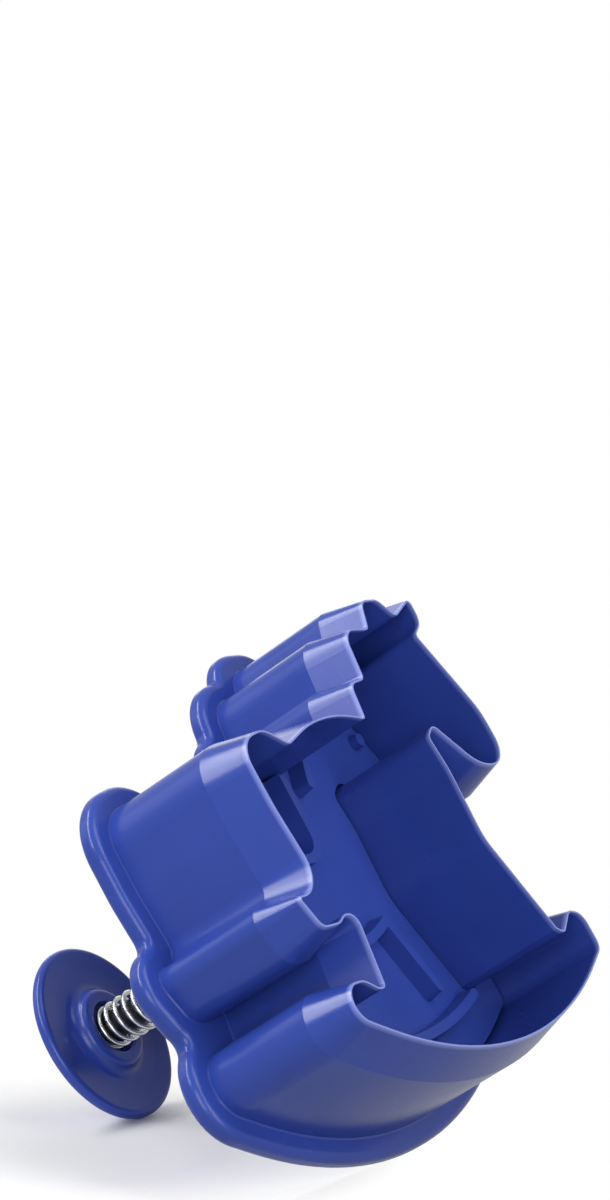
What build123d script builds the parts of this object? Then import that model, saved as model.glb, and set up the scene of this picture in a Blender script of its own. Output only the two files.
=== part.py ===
from build123d import *
import math
import os

# A plunger cutter in the figure of a rocking horse, in millimetres.
# Z points up, from the cutting edge at zero to the push knob. The horse's back points to +Y
# and its muzzle to -X. The origin is under the middle of the figure.

# Figure, measured on the inner line of the cutting edge
figure_length = 67.6
figure_height = 64.0

# Cutting wall
edge_land = 0.25
wall_thickness = 2.0
bevel_height = 6.5
wall_height = 22.8
wall_root_chamfer = 0.2

# Flange for the fingers, roof and neck
flange_thickness = 3.0
flange_overhang = 3.1
flange_rounding = 1.2
notch_rounding = 0.6
roof_thickness = 2.4
neck_diameter = 11.0
neck_root_rounding = 1.2
neck_rim_rounding = 0.5
guide_length = 4.0
spring_play = 0.6

# Plunger axis, a little off the middle of the figure
axis_x = -0.3
axis_y = -1.6

# Stamp plate
plate_play = 0.5
plate_thickness = 2.2
line_width = 2.2
line_height = 2.5
line_slope = 9
fine_line_width = 1.4
eye_diameter = 2.4
boss_diameter = 8.0
boss_height = 3.9
plate_rest_gap = 0.3
edge_margin = 0.4

# Plunger stem
stem_diameter = 4.0
stem_play = 0.05
stem_chamfer = 0.4
plate_socket_depth = 3.0
knob_socket_depth = 2.5

# Push knob
knob_diameter = 26.0
rim_height = 57.4
rim_thickness = 1.7
rim_rounding = 0.8
dish_depth = 0.6
dish_rounding = 20.0
dome_height = 2.3
dome_rounding = 25.0
collar_diameter = 11.4
collar_foot_diameter = 12.6
collar_drop = 1.3
collar_root_rounding = 2.0
collar_rim_rounding = 1.0
pocket_play = 0.6
pocket_rim_rounding = 0.35
pocket_depth = 1.6
stop_gap = 0.3

# Return spring
spring_diameter = 6.5
wire_diameter = 0.7
coil_pitch = 1.75
end_coil_pitch = 1.08
end_turns = 1.5
spring_samples_per_turn = 24

# How far a cutting tool runs past a face, and how near two places count as the same
overrun = 1.0
same_place = 0.01

# The most of an outline's side that its two roundings take, the most of the flange's thickness
# that the rounding of one rim takes, the flat part of the knob's crown and of its underside
side_use_share = 0.98
rim_limit_share = 0.45
crown_share = 0.5
dish_share = 0.68

# Corners of the cutting edge, seen from the cutting side and followed clockwise: share of the
# figure's length from the tail, share of its height from the rocker, rounding as a share of length
back_shares = [
    (0.077, 0.737, 0.062),
    (0.172, 0.754, 0.058),
    (0.237, 0.713, 0.023),
    (0.410, 0.772, 0.423),
    (0.550, 0.735, 0.010),
]
mane_shares = [
    (0.566, 0.818, 0.025),
    (0.624, 0.824, 0.017),
    (0.644, 0.941, 0.042),
    (0.740, 0.934, 0.017),
    (0.771, 1.001, 0.027),
    (0.831, 0.999, 0.031),
    (0.873, 0.955, 0.019),
]
head_shares = [
    (0.957, 0.990, 0.008),
    (0.956, 0.936, 0.038),
    (0.907, 0.907, 0.013),
    (0.999, 0.706, 0.135),
    (1.002, 0.582, 0.058),
    (0.890, 0.582, 0.110),
]
chest_and_leg_shares = [
    (0.785, 0.698, 0.023),
    (0.744, 0.672, 0.019),
    (0.754, 0.588, 0.115),
    (0.745, 0.424, 0.115),
    (0.833, 0.192, 0.006),
]
rocker_shares = [
    (0.856, 0.177, 0.019),
    (0.917, 0.219, 0.023),
    (0.961, 0.206, 0.031),
    (0.962, 0.127, 0.027),
    (0.489, -0.114, 0.961),
    (-0.129, 0.206, 0.039),
    (0.066, 0.207, 0.048),
    (0.102, 0.183, 0.027),
]
tail_shares = [
    (0.127, 0.181, 0.014),
    (0.159, 0.344, 0.025),
    (0.116, 0.347, 0.031),
    (0.089, 0.334, 0.042),
    (0.031, 0.334, 0.023),
    (0.004, 0.401, 0.006),
    (0.101, 0.399, 0.071),
    (0.078, 0.598, 0.288),
]

# Raised lines of the stamp, as shares of the figure's length and height in the same way
saddle_line_shares = [(0.282, 0.850), (0.282, 0.540), (0.526, 0.540), (0.526, 0.850)]
saddle_rounding_share = 0.050
tail_line_shares = [(0.194, 0.667), (0.140, 0.684), (0.198, 0.471), (0.166, 0.378)]
tail_rounding_shares = [0.024, 0.120]
mane_line_shares = [(0.615, 0.702), (0.708, 0.849), (0.850, 0.938)]
hind_leg_line_shares = [(0.272, 0.184), (0.305, 0.359)]
belly_line_shares = [(0.305, 0.359), (0.459, 0.332), (0.620, 0.370)]
fore_leg_line_shares = [(0.620, 0.370), (0.684, 0.200)]
rocker_line_shares = [(0.166, 0.178), (0.483, 0.108), (0.798, 0.163)]
mouth_line_shares = [(0.923, 0.608), (0.944, 0.642), (0.981, 0.649)]
eye_shares = (0.914, 0.783)

# Levels and diameters that follow from the sizes above
flange_top = wall_height + flange_thickness
flange_rim_rounding = min(flange_rounding, flange_thickness * rim_limit_share)
roof_underside = flange_top - roof_thickness
well_floor = roof_underside + guide_length
plate_back = roof_underside - plate_rest_gap - boss_height
plate_face = plate_back - plate_thickness
collar_face = rim_height - collar_drop
pocket_floor = collar_face + pocket_depth
travel = plate_face - line_height - edge_margin
neck_top = collar_face - travel - stop_gap
stem_bottom = plate_back + boss_height - plate_socket_depth
stem_top = pocket_floor + knob_socket_depth
guide_diameter = stem_diameter + 2 * stem_play
well_diameter = spring_diameter + 2 * spring_play
pocket_diameter = spring_diameter + 2 * pocket_play


def place(share):
    """The point of the figure at a share of its length and height."""
    return Vector(figure_length * (0.5 - share[0]), figure_height * (share[1] - 0.5))


def on_axis(z):
    """The placement at height z on the plunger's axis."""
    return Pos(axis_x, axis_y, z)


def rounded_face(points, radii):
    """A face with straight sides and an arc at each corner that has a radius."""
    count = len(points)
    to_last = [(points[i - 1] - points[i]).normalized() for i in range(count)]
    to_next = [(points[(i + 1) % count] - points[i]).normalized() for i in range(count)]
    half_angles = [math.radians(to_last[i].get_angle(to_next[i])) / 2 for i in range(count)]
    reaches = [radii[i] / math.tan(half_angles[i]) for i in range(count)]
    # Two corners together take no more than most of the side between them
    fits = []
    for i in range(count):
        wanted = reaches[i] + reaches[(i + 1) % count]
        allowed = (points[(i + 1) % count] - points[i]).length * side_use_share
        fits.append(allowed / wanted if wanted > allowed else 1)
    reaches = [reaches[i] * min(fits[i - 1], fits[i]) for i in range(count)]
    edges = []
    for i in range(count):
        start = points[i] + to_last[i] * reaches[i]
        end = points[i] + to_next[i] * reaches[i]
        if radii[i] > 0:
            radius = reaches[i] * math.tan(half_angles[i])
            inward = (to_last[i] + to_next[i]).normalized()
            middle = points[i] + inward * (radius / math.sin(half_angles[i]) - radius)
            edges.append(ThreePointArc(start, middle, end))
        following = (i + 1) % count
        next_start = points[following] + to_last[following] * reaches[following]
        edges.append(Line(end, next_start))
    return Face(Wire(edges))


def edge_outline():
    """The face inside the cutting edge."""
    corners = (
        back_shares + mane_shares + head_shares + chest_and_leg_shares + rocker_shares + tail_shares
    )
    return rounded_face(
        [place(corner) for corner in corners], [figure_length * corner[2] for corner in corners]
    )


def grown(face, distance):
    """The face grown by a distance all round, or shrunk by a negative one."""
    return offset(face, amount=distance, kind=Kind.ARC).faces()[0]


def cylinder(diameter, bottom, top):
    """A cylinder on the plunger's axis between two heights."""
    return on_axis(bottom) * extrude(Circle(diameter / 2), amount=top - bottom)


def flange_outline(outline):
    """The flange's outline: even all round, with its inner corners rounded for the rim."""
    inner_rounding = flange_rim_rounding + notch_rounding
    wide = grown(outline, wall_thickness + flange_overhang + inner_rounding)
    return grown(wide, -inner_rounding)


def carried(section, edge, outline):
    """A section of distance outward and height, carried along one edge of the outline."""
    upward = Vector(0, 0, 1)
    outward = (edge % 0.5).cross(upward)
    if outline.is_inside(edge @ 0.5 + outward * same_place):
        outward = -outward
    if edge.geom_type == GeomType.LINE:
        start = Plane(origin=edge @ 0, x_dir=outward, z_dir=outward.cross(upward))
        return extrude(start * section, amount=edge.length, dir=edge % 0)
    ray = edge @ 0 - edge.arc_center
    spin = ray.cross(edge % 0)
    turned = math.degrees(edge.length / edge.radius)
    if outward.dot(edge @ 0.5 - edge.arc_center) < 0:
        # Inside a hollow corner the section ends at the corner's centre
        ray = -ray
        room = Rectangle(edge.radius, flange_top, align=(Align.MIN, Align.MIN))
        section = (section & room).faces()[0]
    start = Plane(origin=edge @ 0, x_dir=ray, z_dir=ray.cross(upward))
    return revolve(start * section, axis=Axis(edge.arc_center, spin), revolution_arc=turned)


def cutter_wall(outline):
    """The wall round the outline, bevelled to the cutting edge and widened at its root."""
    root_reach = wall_thickness + wall_root_chamfer
    inside_flange = wall_height + flange_rim_rounding
    corners = [
        (0, 0),
        (edge_land, 0),
        (wall_thickness, bevel_height),
        (wall_thickness, wall_height - wall_root_chamfer),
        (root_reach, wall_height),
        (root_reach, inside_flange),
        (0, inside_flange),
    ]
    section = make_face(Polyline(*corners, close=True))
    return Part() + [carried(section, edge, outline) for edge in outline.outer_wire().edges()]


def cutter_shell(outline):
    """Wall with its bevelled edge, flange, roof and neck, moulded in one."""
    flange = extrude(Pos(0, 0, wall_height) * flange_outline(outline), amount=flange_thickness)
    rims = flange.edges().group_by(Axis.Z)
    flange = fillet(rims[0] + rims[-1], flange_rim_rounding)
    neck = cylinder(neck_diameter, flange_top, neck_top)
    neck = fillet(neck.edges().group_by(Axis.Z)[-1], neck_rim_rounding)
    body = cutter_wall(outline) + flange + neck
    neck_root = body.edges().filter_by(GeomType.CIRCLE).filter_by(
        lambda e: abs(e.radius - neck_diameter / 2) < same_place
        and abs(e.arc_center.Z - flange_top) < same_place
    )
    body = fillet(neck_root, neck_root_rounding)
    body -= extrude(outline, amount=roof_underside)
    body -= cylinder(guide_diameter, roof_underside - overrun, well_floor + overrun)
    body -= cylinder(well_diameter, well_floor, neck_top + overrun)
    return body


def raised_line(path, width):
    """A raised line of the stamp along a path, with sloping sides and round ends."""
    stroke = path.offset_2d(width / 2, kind=Kind.ARC, side=Side.BOTH)
    top = Pos(0, 0, plate_face) * Face(stroke)
    return extrude(top, amount=line_height, dir=(0, 0, -1), taper=line_slope)


def stamp_lines():
    """The raised lines that print the saddle, mane, tail, legs, rocker, mouth and eye."""
    saddle = FilletPolyline(
        *[place(share) for share in saddle_line_shares], radius=figure_length * saddle_rounding_share
    )
    tail = FilletPolyline(
        *[place(share) for share in tail_line_shares],
        radius=[figure_length * share for share in tail_rounding_shares],
    )
    legs = [
        Line(*[place(share) for share in hind_leg_line_shares]),
        ThreePointArc(*[place(share) for share in belly_line_shares]),
        Line(*[place(share) for share in fore_leg_line_shares]),
    ]
    arcs = [
        ThreePointArc(*[place(share) for share in shares])
        for shares in (mane_line_shares, rocker_line_shares)
    ]
    mouth = ThreePointArc(*[place(share) for share in mouth_line_shares])
    lines = [raised_line(Wire(path.edges()), line_width) for path in [saddle, tail] + arcs]
    lines.append(raised_line(Wire(legs), line_width))
    lines.append(raised_line(Wire(mouth.edges()), fine_line_width))
    eye = place(eye_shares)
    eye_face = Pos(eye.X, eye.Y, plate_face) * Circle(eye_diameter / 2)
    lines.append(extrude(eye_face, amount=line_height / 2, dir=(0, 0, -1), taper=line_slope))
    return lines


def stamp_plate(outline):
    """The inner plate that prints the lines and pushes the dough out."""
    plate_outline = grown(outline, -plate_play)
    plate = extrude(Pos(0, 0, plate_face) * plate_outline, amount=plate_thickness)
    trim = extrude(
        Pos(0, 0, plate_face - line_height) * plate_outline, amount=line_height + plate_thickness
    )
    for line in stamp_lines():
        plate += line & trim
    plate += cylinder(boss_diameter, plate_back, plate_back + boss_height)
    plate -= cylinder(stem_diameter, stem_bottom, plate_back + boss_height + overrun)
    return plate


def plunger_stem():
    """The rod that joins the plate to the knob through the roof."""
    stem = cylinder(stem_diameter, stem_bottom, stem_top)
    return chamfer(stem.edges(), stem_chamfer)


def spring_turn(angle_turns, free_turns):
    """The height that the spring's wire has climbed after a number of turns."""
    last = end_turns + free_turns
    low = min(angle_turns, end_turns)
    middle = min(max(angle_turns - end_turns, 0), free_turns)
    high = max(angle_turns - last, 0)
    return (low + high) * end_coil_pitch + middle * coil_pitch


def return_spring():
    """One unbroken wire: closer end turns and an even pitch between, on arcs of a quarter turn."""
    room = pocket_floor - well_floor - wire_diameter
    free_turns = (room - 2 * end_turns * end_coil_pitch) / coil_pitch
    all_turns = free_turns + 2 * end_turns
    coil_radius = (spring_diameter - wire_diameter) / 2
    bottom = well_floor + wire_diameter / 2
    steps = math.ceil(all_turns * 2)

    def wire_point(turns):
        angle = 2 * math.pi * turns
        height = bottom + spring_turn(turns, free_turns)
        return Vector(
            axis_x + coil_radius * math.cos(angle), axis_y + coil_radius * math.sin(angle), height
        )

    def wire_direction(turns):
        nudge = all_turns / steps / spring_samples_per_turn
        low = max(turns - nudge, 0)
        high = min(turns + nudge, all_turns)
        climb = (spring_turn(high, free_turns) - spring_turn(low, free_turns)) / (high - low)
        angle = 2 * math.pi * turns
        round_turn = 2 * math.pi * coil_radius
        return Vector(-round_turn * math.sin(angle), round_turn * math.cos(angle), climb).normalized()

    arcs = []
    for step in range(steps):
        start = wire_point(all_turns * step / steps)
        end = wire_point(all_turns * (step + 1) / steps)
        leave = wire_direction(all_turns * step / steps)
        arrive = wire_direction(all_turns * (step + 1) / steps)
        # The two tangent arcs meet halfway between equal tangent lengths
        across = end - start
        square = 2 * (leave.dot(arrive) - 1)
        linear = -2 * across.dot(leave + arrive)
        root = math.sqrt(linear**2 - 4 * square * across.dot(across))
        reach = (-linear - root) / (2 * square)
        meet = (start + leave * reach + end - arrive * reach) / 2
        arcs.append(Edge.make_tangent_arc(start, leave, meet))
        arcs.append(Edge.make_tangent_arc(meet, end - arrive * reach - meet, end))
    path = Wire(arcs)
    section = Plane(origin=path.position_at(0), z_dir=path.tangent_at(0)) * Circle(wire_diameter / 2)
    print_least_gap([wire_point(n / spring_samples_per_turn)
                     for n in range(int(all_turns * spring_samples_per_turn))])
    return sweep(section, path=path)


def print_least_gap(points):
    """Print the least gap of the spring's wire to itself, between turns."""
    half_turn = spring_samples_per_turn // 2
    gaps = [
        (points[i] - points[k]).length - wire_diameter
        for i in range(len(points))
        for k in range(i + half_turn, min(i + 3 * half_turn, len(points)))
    ]
    print("least gap between the spring's turns", round(min(gaps), 3), "mm")


def push_knob():
    """A round dished button with the collar that takes the spring and the stem."""
    rim_radius = knob_diameter / 2
    dish_radius = rim_radius * dish_share
    collar_radius = collar_diameter / 2
    underside = rim_height + dish_depth
    shoulder = rim_height + rim_thickness
    crown = shoulder + dome_height
    profile = [
        (0, stem_top, 0),
        (stem_diameter / 2, stem_top, 0),
        (stem_diameter / 2, pocket_floor, 0),
        (pocket_diameter / 2, pocket_floor, 0),
        (pocket_diameter / 2, collar_face, pocket_rim_rounding),
        (collar_radius, collar_face, collar_rim_rounding),
        (collar_foot_diameter / 2, underside, collar_root_rounding),
        (dish_radius, underside, dish_rounding),
        (rim_radius, rim_height, rim_rounding),
        (rim_radius, shoulder, rim_rounding),
        (rim_radius * crown_share, crown, dome_rounding),
        (0, crown, 0),
    ]
    face = rounded_face([Vector(r, z) for r, z, rounding in profile], [p[2] for p in profile])
    knob = revolve(Plane.XZ * face, axis=Axis.Z)
    return on_axis(0) * knob


def main():
    os.makedirs("parts", exist_ok=True)
    outline = edge_outline()
    pieces = {
        "cutter_shell": cutter_shell(outline),
        "stamp_plate": stamp_plate(outline),
        "plunger_stem": plunger_stem(),
        "return_spring": return_spring(),
        "push_knob": push_knob(),
    }
    for name, shape in pieces.items():
        export_step(shape, "parts/" + name + ".step")
    print("travel", round(travel, 3), "mm")


main()
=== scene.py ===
import math

import bmesh
import bpy
from bpy.props import FloatProperty, FloatVectorProperty, IntProperty, PointerProperty
from mathutils import Euler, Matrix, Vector


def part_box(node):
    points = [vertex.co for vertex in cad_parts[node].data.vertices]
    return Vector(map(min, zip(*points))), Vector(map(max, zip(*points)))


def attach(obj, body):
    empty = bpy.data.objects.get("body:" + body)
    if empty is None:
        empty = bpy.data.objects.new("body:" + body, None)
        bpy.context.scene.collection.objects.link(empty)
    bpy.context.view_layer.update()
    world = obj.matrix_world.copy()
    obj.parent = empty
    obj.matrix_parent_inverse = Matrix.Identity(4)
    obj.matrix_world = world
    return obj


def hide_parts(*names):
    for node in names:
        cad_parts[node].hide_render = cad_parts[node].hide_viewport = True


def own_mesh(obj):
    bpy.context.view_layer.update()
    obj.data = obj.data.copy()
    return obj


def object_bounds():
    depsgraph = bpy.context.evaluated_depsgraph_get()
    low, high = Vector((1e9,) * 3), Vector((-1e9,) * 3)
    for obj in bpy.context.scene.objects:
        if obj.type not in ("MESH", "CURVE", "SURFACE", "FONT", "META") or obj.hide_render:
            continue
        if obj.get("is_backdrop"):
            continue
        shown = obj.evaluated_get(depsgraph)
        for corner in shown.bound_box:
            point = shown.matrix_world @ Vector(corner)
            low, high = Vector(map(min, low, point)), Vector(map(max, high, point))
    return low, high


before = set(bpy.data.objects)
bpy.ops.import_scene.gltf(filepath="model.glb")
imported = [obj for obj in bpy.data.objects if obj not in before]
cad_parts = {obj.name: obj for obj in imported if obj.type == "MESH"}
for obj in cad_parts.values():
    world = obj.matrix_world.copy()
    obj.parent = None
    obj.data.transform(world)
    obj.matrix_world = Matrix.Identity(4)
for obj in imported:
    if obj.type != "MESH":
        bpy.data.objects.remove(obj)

bl_info = {
    "name": "Plunger cutter finish",
    "version": (1, 0, 0),
    "blender": (4, 5, 0),
    "location": "View3D > Sidebar > Cutter",
    "description": "Finishes the mouldings and the spring of a plunger cutter and lights them",
    "category": "Object",
}

MM = 0.001

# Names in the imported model
CUTTER = "cutter"
SHELL = "cutter_shell"
PLATE = "stamp_plate"
STEM = "plunger_stem"
KNOB = "push_knob"
SPRING = "return_spring"

# The spring's own piece and the map along its wire
SPRING_PIECE = "return_spring_wire"
WIRE_MAP = "along_wire"

# Most of a noise texture's values lie in this range, round this middle
NOISE_RANGE = (0.3, 0.7)
NOISE_MIDDLE = 0.5

# Clouds in the plastic: how many to a ripple, how much brighter, and how the gloss changes
CLOUDS_PER_RIPPLE = 0.6
CLOUD_GAIN = 1.10
CLOUD_ROUGHNESS_CHANGE = 0.10

# Handling marks: turns of the two sets in radians, the noise values where a mark begins and is
# full, its size, how plainly it shows, how much duller it is and how deep it cuts
MARK_TURNS = ((0.3, 0.5, 0.9), (1.1, 0.2, 2.2))
MARK_RANGE = (0.70, 0.76)
MARK_LENGTH = 7.0 * MM
MARK_WIDTH = 0.10 * MM
MARK_AMOUNT = 0.3
MARK_DULLING = 0.08
MARK_DEPTH = 0.0006 * MM

PLASTIC_IOR = 1.5

# Drawn steel: its darkest tarnish and that tarnish's size, how much smoother and duller it gets
# from line to line, and how deep a line is
TARNISH_SHARE = 0.72
TARNISH_SIZE = 1.5 * MM
STEEL_SMOOTHER = 0.05
STEEL_DULLER = 0.08
DRAWN_LINE_DEPTH = 0.004 * MM

# Drawn lines to the metre of the rod on X, Y and Z, and to the millimetre along the wire and to
# the turn round it
ROD_LINES = (6.0 / MM, 6.0 / MM, 0.15 / MM)
WIRE_LINES = (2.0, 60.0, 1.0)

# Nearest that the camera sees, corners of the round floor, and metres from the object's middle to
# each soft box
CAMERA_CLIP = 10 * MM
FLOOR_SIDES = 96
BOX_DISTANCE = 0.80

# Soft boxes: name, turn round the floor from straight behind the object and height angle above
# the floor in degrees, width and height in metres, and power in watts
SOFT_BOXES = [
    ("Front soft box", 184.0, 15.0, 0.46, 0.42, 2.8),
    ("Front right soft box", 132.0, 14.0, 0.42, 0.42, 2.0),
    ("Right soft box", 120.0, 40.0, 0.42, 0.42, 1.5),
    ("High right soft box", 120.0, 65.0, 0.42, 0.42, 1.7),
    ("Left strip light", 264.0, 44.0, 0.90, 0.13, 5.7),
    ("Low left soft box", 285.0, 20.0, 0.42, 0.36, 0.4),
    ("Front left soft box", 228.0, 32.0, 0.16, 0.12, 0.5),
    ("Back soft box", 0.0, 15.0, 0.42, 0.42, 0.6),
]


# Settings


class PlasticSettings(bpy.types.PropertyGroup):
    """Colour and skin of the blue mouldings."""

    colour: FloatVectorProperty(
        name="Colour",
        description="Colour of the moulding, linear",
        subtype="COLOR",
        size=3,
        default=(0.025, 0.052, 0.288),
        min=0.0,
        max=1.0,
    )
    # Painted light: this paler colour is painted along the cutting edge, for the light that the
    # thin edge lets through and the highlight it catches.
    painted_edge_light_colour: FloatVectorProperty(
        name="Thin wall colour",
        description="Colour where the wall is thin enough to let light through, linear",
        subtype="COLOR",
        size=3,
        default=(0.200, 0.250, 0.620),
        min=0.0,
        max=1.0,
    )
    roughness: FloatProperty(
        name="Roughness", description="Roughness of the outer skin", default=0.24, min=0.0, max=1.0
    )
    gloss: FloatProperty(
        name="Gloss",
        description="Strength of the plastic's reflection, with 0.5 for a plain plastic",
        default=0.30,
        min=0.0,
        max=1.0,
    )
    plate_roughness: FloatProperty(
        name="Plate roughness",
        description="Roughness of the stamp plate, a little duller than the outside",
        default=0.36,
        min=0.0,
        max=1.0,
    )
    grain_size: FloatProperty(
        name="Grain size",
        description="Width of the mould's fine grain",
        default=0.22 * MM,
        unit="LENGTH",
    )
    grain_depth: FloatProperty(
        name="Grain depth",
        description="Depth of the mould's fine grain",
        default=0.0016 * MM,
        unit="LENGTH",
    )
    ripple_size: FloatProperty(
        name="Ripple size",
        description="Width of the shallow ripples that cooling leaves in a moulded wall",
        default=5.0 * MM,
        unit="LENGTH",
    )
    ripple_depth: FloatProperty(
        name="Ripple depth",
        description="Depth of those ripples",
        default=0.022 * MM,
        unit="LENGTH",
    )
    # Painted light: how far from the cutting edge the painted paler colour reaches.
    painted_edge_light_reach: FloatProperty(
        name="Thin wall reach",
        description="How far from the cutting edge the wall lets light through",
        default=0.7 * MM,
        unit="LENGTH",
    )


class SpringSettings(bpy.types.PropertyGroup):
    """Shape and finish of the return spring, and finish of the stem inside it."""

    wire_diameter: FloatProperty(
        name="Wire", description="Diameter of the wire", default=0.7 * MM, unit="LENGTH"
    )
    pitch: FloatProperty(
        name="Pitch", description="Climb of each free turn", default=1.75 * MM, unit="LENGTH"
    )
    end_pitch: FloatProperty(
        name="End pitch", description="Climb of each end turn", default=1.08 * MM, unit="LENGTH"
    )
    end_turns: FloatProperty(
        name="End turns", description="Closer turns at each end", default=1.5, min=0.0
    )
    steps_per_turn: IntProperty(
        name="Steps", description="Rings of the wire's mesh in each turn", default=32, min=8
    )
    sides: IntProperty(name="Sides", description="Sides of the wire's mesh", default=14, min=6)
    colour: FloatVectorProperty(
        name="Colour",
        description="Colour of the drawn wire, linear",
        subtype="COLOR",
        size=3,
        default=(0.86, 0.86, 0.86),
        min=0.0,
        max=1.0,
    )
    roughness: FloatProperty(
        name="Roughness", description="Roughness of the drawn wire", default=0.24, min=0.0, max=1.0
    )
    # Painted shade: the steel stem is coloured dark for the shade it sits in inside the spring.
    stem_steel_and_shade_colour: FloatVectorProperty(
        name="Stem colour",
        description="Colour of the darkened steel stem inside the spring, linear",
        subtype="COLOR",
        size=3,
        default=(0.10, 0.10, 0.105),
        min=0.0,
        max=1.0,
    )
    stem_roughness: FloatProperty(
        name="Stem roughness", description="Roughness of the stem", default=0.38, min=0.0, max=1.0
    )


class StageSettings(bpy.types.PropertyGroup):
    """Camera, floor and the light from all round."""

    camera_place: FloatVectorProperty(
        name="Camera place",
        description="Place of the camera",
        subtype="TRANSLATION",
        size=3,
        default=(428.4 * MM, -71.7 * MM, -235.1 * MM),
    )
    camera_turn: FloatVectorProperty(
        name="Camera turn",
        description="Turn of the camera about X, Y and Z",
        subtype="EULER",
        size=3,
        default=(math.radians(-132.64), math.radians(46.43), math.radians(-137.37)),
    )
    lens: FloatProperty(name="Lens", description="Focal length in millimetres", default=112.6)
    floor_lean: FloatProperty(
        name="Floor lean",
        description="Angle of the floor's normal from the object's +Y, towards the cutting edge",
        subtype="ANGLE",
        default=math.radians(33.9),
    )
    floor_radius: FloatProperty(
        name="Floor radius", description="Reach of the floor", default=420.0 * MM, unit="LENGTH"
    )
    fade_place: FloatVectorProperty(
        name="Fade place",
        description="Place that the floor fades out round",
        subtype="TRANSLATION",
        size=3,
        default=(20.0 * MM, -15.0 * MM, 57.0 * MM),
    )
    fade_start: FloatProperty(
        name="Fade start", description="Reach of the full floor", default=20.0 * MM, unit="LENGTH"
    )
    fade_end: FloatProperty(
        name="Fade end",
        description="Where the floor is all background",
        default=44.0 * MM,
        unit="LENGTH",
    )
    floor_colour: FloatVectorProperty(
        name="Floor colour",
        description="Colour of the floor, linear",
        subtype="COLOR",
        size=3,
        default=(0.82, 0.82, 0.82),
        min=0.0,
        max=1.0,
    )
    lost_bounce: FloatProperty(
        name="Lost bounce",
        description="Share of the faded floor that throws no light back",
        default=0.74,
        min=0.0,
        max=1.0,
    )
    surround: FloatProperty(
        name="Surround",
        description="Strength of the even light from all round",
        default=0.18,
        min=0.0,
    )
    mirrored: FloatProperty(
        name="Mirrored background",
        description="Share of the white background that metal and shiny plastic show",
        default=0.5,
        min=0.0,
        max=1.0,
    )


# Node helpers


def feed(tree, socket, value):
    """Join an input to another socket, or give it a number or colour of its own."""
    if isinstance(value, bpy.types.NodeSocket):
        tree.links.new(value, socket)
    else:
        socket.default_value = value


def opaque(colour):
    """A linear colour with full alpha, as a colour socket takes it."""
    return (*colour, 1.0)


def add_group(name, inputs, outputs):
    """An empty shader node group, with a number for each named input and output."""
    group = bpy.data.node_groups.new(name, "ShaderNodeTree")
    for label, value in inputs.items():
        socket = group.interface.new_socket(
            label, in_out="INPUT", socket_type="NodeSocketFloat"
        )
        socket.default_value = value
    for label in outputs:
        group.interface.new_socket(label, in_out="OUTPUT", socket_type="NodeSocketFloat")
    return group, group.nodes.new("NodeGroupInput"), group.nodes.new("NodeGroupOutput")


def add_math(tree, operation, first, second):
    """A math node's result. Each operand is a socket or a number."""
    node = tree.nodes.new("ShaderNodeMath")
    node.operation = operation
    feed(tree, node.inputs[0], first)
    feed(tree, node.inputs[1], second)
    return node.outputs[0]


def add_range(tree, value, low, high, to_low=0.0, to_high=1.0):
    """A value moved from one range to another and held inside it."""
    node = tree.nodes.new("ShaderNodeMapRange")
    tree.links.new(value, node.inputs["Value"])
    node.inputs["From Min"].default_value = low
    node.inputs["From Max"].default_value = high
    node.inputs["To Min"].default_value = to_low
    node.inputs["To Max"].default_value = to_high
    return node.outputs["Result"]


def add_noise(tree, vector, scale, detail, roughness=0.5):
    """A noise texture's value. Its scale is a socket or a number."""
    node = tree.nodes.new("ShaderNodeTexNoise")
    tree.links.new(vector, node.inputs["Vector"])
    feed(tree, node.inputs["Scale"], scale)
    node.inputs["Detail"].default_value = detail
    node.inputs["Roughness"].default_value = roughness
    return node.outputs["Fac"]


def add_mix(tree, factor, first, second):
    """A colour between two others. Each is a socket or an opaque colour."""
    node = tree.nodes.new("ShaderNodeMix")
    node.data_type = "RGBA"
    tree.links.new(factor, node.inputs["Factor"])
    for label, value in (("A", first), ("B", second)):
        socket = next(s for s in node.inputs if s.name == label and s.type == "RGBA")
        feed(tree, socket, value)
    return next(s for s in node.outputs if s.type == "RGBA")


def add_bump(tree, shader, height, distance=1.0):
    """Bump on the shader's normal. The distance is what a height of 1 stands for, in metres."""
    bump = tree.nodes.new("ShaderNodeBump")
    bump.inputs["Distance"].default_value = distance
    tree.links.new(height, bump.inputs["Height"])
    tree.links.new(bump.outputs["Normal"], shader.inputs["Normal"])


def object_place(tree):
    """The coordinates of the object, in metres."""
    return tree.nodes.new("ShaderNodeTexCoord").outputs["Object"]


def place_group(tree, name, **values):
    """A shared group placed in a material with its own values."""
    node = tree.nodes.new("ShaderNodeGroup")
    node.node_tree = bpy.data.node_groups[name]
    for label, value in values.items():
        node.inputs[label.replace("_", " ")].default_value = value
    return node


def add_surface(name):
    """A new material, its tree, and its shader joined to its output."""
    material = bpy.data.materials.new(name)
    material.use_nodes = True
    tree = material.node_tree
    tree.nodes.clear()
    shader = tree.nodes.new("ShaderNodeBsdfPrincipled")
    output = tree.nodes.new("ShaderNodeOutputMaterial")
    tree.links.new(shader.outputs["BSDF"], output.inputs["Surface"])
    return material, tree, shader


# Shared effects


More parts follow.
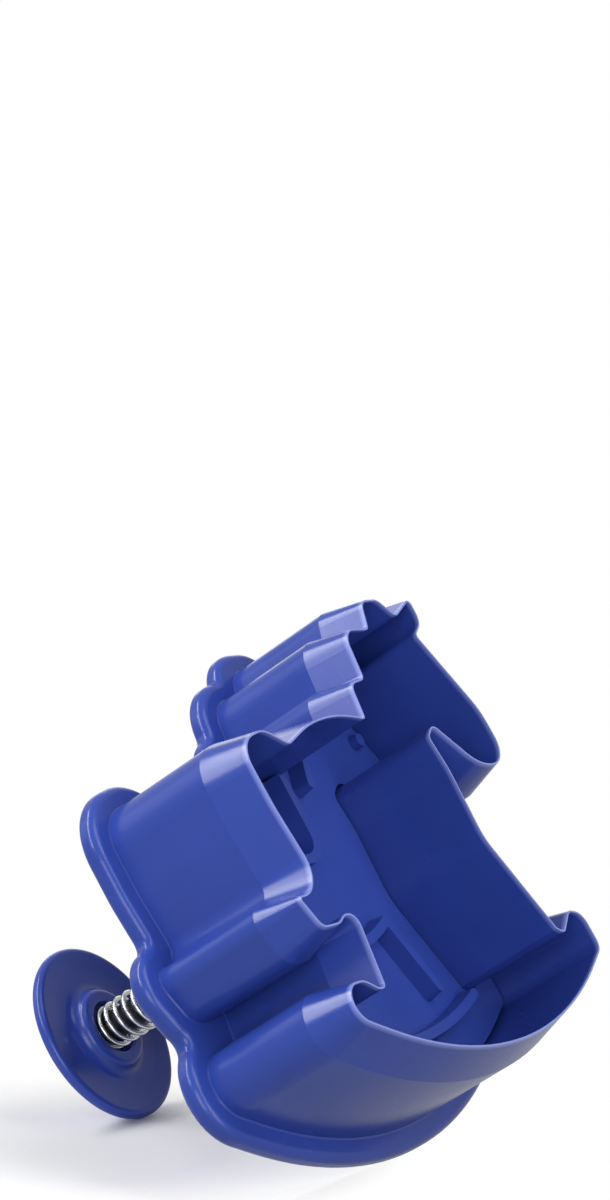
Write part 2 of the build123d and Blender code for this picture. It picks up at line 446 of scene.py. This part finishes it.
def moulded_skin_group():
    """Make the effect of fine mould grain, shallow ripples and an uneven gloss."""
    group, given, result = add_group(
        "Moulded skin",
        {
            "Grain Size": 0.2 * MM,
            "Grain Depth": 0.002 * MM,
            "Ripple Size": 5.0 * MM,
            "Ripple Depth": 0.03 * MM,
            "Roughness": 0.3,
            "Roughness Change": 0.06,
        },
        ("Height", "Roughness", "Clouding"),
    )
    place = object_place(group)
    grain_scale = add_math(group, "DIVIDE", 1.0, given.outputs["Grain Size"])
    grain = add_noise(group, place, grain_scale, detail=2.0)
    ripple_scale = add_math(group, "DIVIDE", 1.0, given.outputs["Ripple Size"])
    ripple = add_noise(group, place, ripple_scale, detail=1.0, roughness=0.4)
    cloud_scale = add_math(group, "MULTIPLY", ripple_scale, CLOUDS_PER_RIPPLE)
    clouds = add_noise(group, place, cloud_scale, detail=4.0, roughness=0.6)
    grain_height = add_math(group, "MULTIPLY", grain, given.outputs["Grain Depth"])
    ripple_height = add_math(group, "MULTIPLY", ripple, given.outputs["Ripple Depth"])
    height = add_math(group, "ADD", grain_height, ripple_height)
    unevenness = add_math(group, "SUBTRACT", clouds, NOISE_MIDDLE)
    change = add_math(group, "MULTIPLY", unevenness, given.outputs["Roughness Change"])
    roughness = add_math(group, "ADD", given.outputs["Roughness"], change)
    group.links.new(height, result.inputs["Height"])
    group.links.new(roughness, result.inputs["Roughness"])
    group.links.new(add_range(group, clouds, *NOISE_RANGE), result.inputs["Clouding"])


def handling_marks_group():
    """Make the effect of sparse hairline marks that handling and washing leave, as a mask."""
    group, given, result = add_group(
        "Handling marks",
        {"Mark Length": 6.0 * MM, "Mark Width": 0.1 * MM, "Amount": 0.5},
        ("Mask",),
    )
    place = object_place(group)
    across = add_math(group, "DIVIDE", 1.0, given.outputs["Mark Width"])
    along = add_math(group, "DIVIDE", 1.0, given.outputs["Mark Length"])
    masks = []
    for turn in MARK_TURNS:
        turned = group.nodes.new("ShaderNodeMapping")
        turned.inputs["Rotation"].default_value = turn
        group.links.new(place, turned.inputs["Vector"])
        stretch = group.nodes.new("ShaderNodeCombineXYZ")
        for axis, scale in (("X", along), ("Y", across), ("Z", along)):
            group.links.new(scale, stretch.inputs[axis])
        scaled = group.nodes.new("ShaderNodeVectorMath")
        scaled.operation = "MULTIPLY"
        group.links.new(turned.outputs["Vector"], scaled.inputs[0])
        group.links.new(stretch.outputs["Vector"], scaled.inputs[1])
        lines = add_noise(group, scaled.outputs["Vector"], 1.0, detail=1.0)
        masks.append(add_range(group, lines, *MARK_RANGE))
    either = add_math(group, "MAXIMUM", *masks)
    mask = add_math(group, "MULTIPLY", either, given.outputs["Amount"])
    group.links.new(mask, result.inputs["Mask"])


# Materials


def moulded_plastic(name, settings, roughness, painted_edge_light):
    """The blue moulding: clouded colour, fine grain, and painted light, paler where the edge is
    thin.
    """
    material, tree, shader = add_surface(name)
    skin = place_group(
        tree,
        "Moulded skin",
        Grain_Size=settings.grain_size,
        Grain_Depth=settings.grain_depth,
        Ripple_Size=settings.ripple_size,
        Ripple_Depth=settings.ripple_depth,
        Roughness=roughness,
        Roughness_Change=CLOUD_ROUGHNESS_CHANGE,
    )
    marks = place_group(
        tree,
        "Handling marks",
        Mark_Length=MARK_LENGTH,
        Mark_Width=MARK_WIDTH,
        Amount=MARK_AMOUNT,
    )
    clouded = opaque(channel * CLOUD_GAIN for channel in settings.colour)
    colour = add_mix(tree, skin.outputs["Clouding"], opaque(settings.colour), clouded)
    # Painted light: the wall near the cutting edge is painted paler, for the light that the thin
    # edge lets through and the highlight on it.
    if painted_edge_light:
        split = tree.nodes.new("ShaderNodeSeparateXYZ")
        tree.links.new(object_place(tree), split.inputs["Vector"])
        thin = add_range(tree, split.outputs["Z"], 0.0, settings.painted_edge_light_reach, 1.0, 0.0)
        colour = add_mix(tree, thin, colour, opaque(settings.painted_edge_light_colour))
    tree.links.new(colour, shader.inputs["Base Color"])
    dulling = add_math(tree, "MULTIPLY", marks.outputs["Mask"], MARK_DULLING)
    dulled = add_math(tree, "ADD", skin.outputs["Roughness"], dulling)
    tree.links.new(dulled, shader.inputs["Roughness"])
    cut = add_math(tree, "MULTIPLY", marks.outputs["Mask"], -MARK_DEPTH)
    height = add_math(tree, "ADD", skin.outputs["Height"], cut)
    add_bump(tree, shader, height)
    shader.inputs["IOR"].default_value = PLASTIC_IOR
    shader.inputs["Specular IOR Level"].default_value = settings.gloss
    return material


def drawn_steel(name, colour, roughness, lines_to_unit, uv_map=None):
    """Drawn steel, with fine lines along the object's own axes or along a UV map."""
    material, tree, shader = add_surface(name)
    place = object_place(tree)
    lengthwise = place
    if uv_map:
        unrolled = tree.nodes.new("ShaderNodeUVMap")
        unrolled.uv_map = uv_map
        lengthwise = unrolled.outputs["UV"]
    stretched = tree.nodes.new("ShaderNodeMapping")
    stretched.inputs["Scale"].default_value = lines_to_unit
    tree.links.new(lengthwise, stretched.inputs["Vector"])
    lines = add_noise(tree, stretched.outputs["Vector"], 1.0, detail=4.0, roughness=0.6)
    tarnish = add_noise(tree, place, 1.0 / TARNISH_SIZE, detail=2.0)
    dull = opaque(channel * TARNISH_SHARE for channel in colour)
    tree.links.new(add_mix(tree, tarnish, opaque(colour), dull), shader.inputs["Base Color"])
    low = roughness - STEEL_SMOOTHER
    high = roughness + STEEL_DULLER
    tree.links.new(add_range(tree, lines, *NOISE_RANGE, low, high), shader.inputs["Roughness"])
    add_bump(tree, shader, lines, DRAWN_LINE_DEPTH)
    shader.inputs["Metallic"].default_value = 1.0
    return material


def finish_node(node, material):
    """Give a node its material."""
    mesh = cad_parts[node].data
    mesh.materials.clear()
    mesh.materials.append(material)


# Mouldings and stem


class CUTTER_OT_finish_shell(bpy.types.Operator):
    """Finish the outer moulding with its cutting edge"""

    bl_idname = "cutter.finish_shell"
    bl_label = "Finish the shell"

    def execute(self, context):
        plastic = context.scene.cutter_plastic
        # The shell's material has the painted highlight along its cutting edge.
        outer = moulded_plastic("Blue moulding, shell", plastic, plastic.roughness, True)
        finish_node(SHELL, outer)
        return {"FINISHED"}


class CUTTER_OT_finish_plunger(bpy.types.Operator):
    """Finish the stamp plate, the steel stem and the push knob"""

    bl_idname = "cutter.finish_plunger"
    bl_label = "Finish the plunger"

    def execute(self, context):
        plastic = context.scene.cutter_plastic
        steel = context.scene.cutter_spring
        plate = moulded_plastic("Blue moulding, plate", plastic, plastic.plate_roughness, False)
        outer = moulded_plastic("Blue moulding, knob", plastic, plastic.roughness, False)
        # The stem's steel is painted dark for the shade it sits in inside the spring.
        rod = drawn_steel(
            "Steel rod with painted shade", steel.stem_steel_and_shade_colour, steel.stem_roughness, ROD_LINES
        )
        finish_node(PLATE, plate)
        finish_node(KNOB, outer)
        finish_node(STEM, rod)
        return {"FINISHED"}


# Spring


def wire_climb(turn, free_turns, settings):
    """How far the wire has climbed after a number of turns."""
    low = min(turn, settings.end_turns)
    middle = min(max(turn - settings.end_turns, 0.0), free_turns)
    high = max(turn - settings.end_turns - free_turns, 0.0)
    return (low + high) * settings.end_pitch + middle * settings.pitch


def wire_path(settings):
    """The wire's middle line between the shell's neck and the knob.

    Each step is a point, its direction out from the coil's axis and its way along the wire in
    millimetres.
    """
    low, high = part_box(SPRING)
    centre = (low + high) / 2
    wire_radius = settings.wire_diameter / 2
    coil_radius = (high.x - low.x) / 2 - wire_radius
    turn_length = math.hypot(2 * math.pi * coil_radius, settings.pitch)
    room = high.z - low.z - settings.wire_diameter
    free_turns = (room - 2 * settings.end_turns * settings.end_pitch) / settings.pitch
    all_turns = free_turns + 2 * settings.end_turns
    steps = math.ceil(all_turns * settings.steps_per_turn)
    path = []
    for step in range(steps + 1):
        turn = all_turns * step / steps
        angle = 2 * math.pi * turn
        across = Vector((math.cos(angle), math.sin(angle), 0.0))
        height = low.z + wire_radius + wire_climb(turn, free_turns, settings)
        point = Vector((centre.x, centre.y, height)) + across * coil_radius
        path.append((point, across, turn_length * all_turns * step / steps / MM))
    return path


def add_rings(made, path, settings):
    """The rings of vertices round the wire, square to its way along the path."""
    rings = []
    for index, (point, across, _) in enumerate(path):
        before = path[max(index - 1, 0)][0]
        after = path[min(index + 1, len(path) - 1)][0]
        along = (after - before).normalized()
        beside = along.cross(across).normalized()
        ring = []
        for side in range(settings.sides):
            turn = 2 * math.pi * side / settings.sides
            offset = across * math.cos(turn) + beside * math.sin(turn)
            ring.append(made.verts.new(point + offset * (settings.wire_diameter / 2)))
        rings.append(ring)
    return rings


def wire_mesh(settings):
    """The mesh of the coiled wire, closed at both ends, with a map along it."""
    made = bmesh.new()
    layer = made.loops.layers.uv.new(WIRE_MAP)
    path = wire_path(settings)
    rings = add_rings(made, path, settings)
    for index in range(len(rings) - 1):
        near, far = rings[index], rings[index + 1]
        start, end = path[index][2], path[index + 1][2]
        for side in range(settings.sides):
            following = (side + 1) % settings.sides
            patch = (
                (near[side], start, side),
                (far[side], end, side),
                (far[following], end, side + 1),
                (near[following], start, side + 1),
            )
            face = made.faces.new([vertex for vertex, _, _ in patch])
            face.smooth = True
            for loop, (_, way, sides_round) in zip(face.loops, patch):
                loop[layer].uv = (way, sides_round / settings.sides)
    made.faces.new(rings[0])
    made.faces.new(list(reversed(rings[-1])))
    bmesh.ops.recalc_face_normals(made, faces=made.faces)
    mesh = bpy.data.meshes.new(SPRING_PIECE)
    made.to_mesh(mesh)
    made.free()
    return mesh


class CUTTER_OT_wind_spring(bpy.types.Operator):
    """Wind the return spring and attach it to the cutter's body"""

    bl_idname = "cutter.wind_spring"
    bl_label = "Wind the spring"

    def execute(self, context):
        settings = context.scene.cutter_spring
        spring = bpy.data.objects.new(SPRING_PIECE, wire_mesh(settings))
        wire = drawn_steel(
            "Drawn spring steel", settings.colour, settings.roughness, WIRE_LINES, WIRE_MAP
        )
        spring.data.materials.append(wire)
        context.scene.collection.objects.link(spring)
        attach(spring, CUTTER)
        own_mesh(spring)
        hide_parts(SPRING)
        return {"FINISHED"}


# Stage


def floor_up(settings):
    """The floor's normal. The cutter lies on the knob's rim and the flange's rocker side."""
    return Vector((0.0, math.cos(settings.floor_lean), -math.sin(settings.floor_lean)))


def floor_level(up):
    """How far along the floor's normal the object's lowest point lies."""
    return min(
        up.dot(vertex.co) for node in (SHELL, KNOB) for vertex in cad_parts[node].data.vertices
    )


def seen_rays(tree, settings):
    """1 for the camera's rays, and a share of that for the rays that metal or glass sends on."""
    path = tree.nodes.new("ShaderNodeLightPath").outputs
    shiny = add_math(tree, "MAXIMUM", path["Is Glossy Ray"], path["Is Transmission Ray"])
    shown = add_math(tree, "MULTIPLY", shiny, settings.mirrored)
    return add_math(tree, "MAXIMUM", path["Is Camera Ray"], shown)


def floor_material(settings):
    """A plain pale floor, seen from above alone, that fades out into the background.

    The camera sees all of it fade. For rays that only carry light, a share of it goes on.
    """
    material = bpy.data.materials.new("Pale floor")
    material.use_nodes = True
    tree = material.node_tree
    tree.nodes.clear()
    output = tree.nodes.new("ShaderNodeOutputMaterial")
    matt = tree.nodes.new("ShaderNodeBsdfDiffuse")
    matt.inputs["Color"].default_value = opaque(settings.floor_colour)
    clear = tree.nodes.new("ShaderNodeBsdfTransparent")
    geometry = tree.nodes.new("ShaderNodeNewGeometry")
    distance = tree.nodes.new("ShaderNodeVectorMath")
    distance.operation = "DISTANCE"
    tree.links.new(geometry.outputs["Position"], distance.inputs[0])
    distance.inputs[1].default_value = settings.fade_place
    fade = add_range(tree, distance.outputs["Value"], settings.fade_start, settings.fade_end)
    fade_share = add_range(tree, seen_rays(tree, settings), 0.0, 1.0, settings.lost_bounce, 1.0)
    seen_fade = add_math(tree, "MULTIPLY", fade, fade_share)
    see_through = add_math(tree, "MAXIMUM", seen_fade, geometry.outputs["Backfacing"])
    mix = tree.nodes.new("ShaderNodeMixShader")
    tree.links.new(see_through, mix.inputs["Fac"])
    tree.links.new(matt.outputs["BSDF"], mix.inputs[1])
    tree.links.new(clear.outputs["BSDF"], mix.inputs[2])
    tree.links.new(mix.outputs["Shader"], output.inputs["Surface"])
    return material


def surround_world(settings):
    """An even surround that the camera sees as white."""
    world = bpy.data.worlds.new("Even surround")
    world.use_nodes = True
    tree = world.node_tree
    background = tree.nodes["Background"]
    background.inputs["Color"].default_value = (1.0, 1.0, 1.0, 1.0)
    strength = add_range(tree, seen_rays(tree, settings), 0.0, 1.0, settings.surround, 1.0)
    tree.links.new(strength, background.inputs["Strength"])
    return world


def frame_middle():
    """The middle of the whole object's box."""
    low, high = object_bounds()
    return (low + high) / 2


def add_camera(scene, settings):
    """The camera, at the photograph's viewing angle."""
    camera = bpy.data.objects.new("Camera", bpy.data.cameras.new("Camera"))
    camera.data.lens = settings.lens
    camera.data.clip_start = CAMERA_CLIP
    camera.location = settings.camera_place
    camera.rotation_euler = Euler(settings.camera_turn)
    scene.collection.objects.link(camera)
    scene.camera = camera


def add_floor(context, settings, up):
    """The floor, under the object's lowest point."""
    bpy.ops.mesh.primitive_circle_add(
        vertices=FLOOR_SIDES,
        radius=settings.floor_radius,
        fill_type="NGON",
        location=up * floor_level(up),
    )
    floor = context.object
    floor.name = "Floor"
    floor.rotation_mode = "QUATERNION"
    floor.rotation_quaternion = up.to_track_quat("Z", "Y")
    floor.data.materials.append(floor_material(settings))
    floor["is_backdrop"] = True


def add_soft_boxes(scene, settings, up):
    """The soft boxes round the object, each turned to face its middle."""
    away = Euler(settings.camera_turn).to_matrix() @ Vector((0.0, 0.0, -1.0))
    away = (away - up * away.dot(up)).normalized()
    right = away.cross(up)
    middle = frame_middle()
    for name, turn_degrees, rise_degrees, width, height, power in SOFT_BOXES:
        turn = math.radians(turn_degrees)
        rise = math.radians(rise_degrees)
        round_floor = away * math.cos(turn) + right * math.sin(turn)
        direction = round_floor * math.cos(rise) + up * math.sin(rise)
        lamp = bpy.data.lights.new(name, "AREA")
        lamp.shape = "RECTANGLE"
        lamp.size = width
        lamp.size_y = height
        lamp.energy = power
        box = bpy.data.objects.new(name, lamp)
        box.location = middle + direction * BOX_DISTANCE
        box.rotation_mode = "QUATERNION"
        box.rotation_quaternion = direction.to_track_quat("Z", "Y")
        scene.collection.objects.link(box)


class CUTTER_OT_set_stage(bpy.types.Operator):
    """Set the camera, the floor, the surround and the soft boxes"""

    bl_idname = "cutter.set_stage"
    bl_label = "Set the stage"

    def execute(self, context):
        scene = context.scene
        settings = scene.cutter_stage
        up = floor_up(settings)
        add_camera(scene, settings)
        add_floor(context, settings, up)
        add_soft_boxes(scene, settings, up)
        scene.world = surround_world(settings)
        scene.view_settings.view_transform = "Standard"
        return {"FINISHED"}


# Sidebar


STEPS = (
    CUTTER_OT_finish_shell,
    CUTTER_OT_finish_plunger,
    CUTTER_OT_wind_spring,
    CUTTER_OT_set_stage,
)


class CUTTER_PT_sidebar(bpy.types.Panel):
    """Steps that finish the cutter, in order, and their settings"""

    bl_label = "Plunger cutter"
    bl_space_type = "VIEW_3D"
    bl_region_type = "UI"
    bl_category = "Cutter"

    def draw(self, context):
        for step in STEPS:
            self.layout.operator(step.bl_idname)
        for settings in (
            context.scene.cutter_plastic,
            context.scene.cutter_spring,
            context.scene.cutter_stage,
        ):
            for label in settings.__annotations__:
                self.layout.prop(settings, label)


CLASSES = (PlasticSettings, SpringSettings, StageSettings, *STEPS, CUTTER_PT_sidebar)


def register():
    for cls in CLASSES:
        bpy.utils.register_class(cls)
    bpy.types.Scene.cutter_plastic = PointerProperty(type=PlasticSettings)
    bpy.types.Scene.cutter_spring = PointerProperty(type=SpringSettings)
    bpy.types.Scene.cutter_stage = PointerProperty(type=StageSettings)


def unregister():
    del bpy.types.Scene.cutter_stage
    del bpy.types.Scene.cutter_spring
    del bpy.types.Scene.cutter_plastic
    for cls in reversed(CLASSES):
        bpy.utils.unregister_class(cls)


def main():
    """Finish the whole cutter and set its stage."""
    register()
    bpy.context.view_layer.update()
    moulded_skin_group()
    handling_marks_group()
    bpy.ops.cutter.finish_shell()
    bpy.ops.cutter.finish_plunger()
    bpy.ops.cutter.wind_spring()
    bpy.ops.cutter.set_stage()


if __name__ == "__main__":
    main()
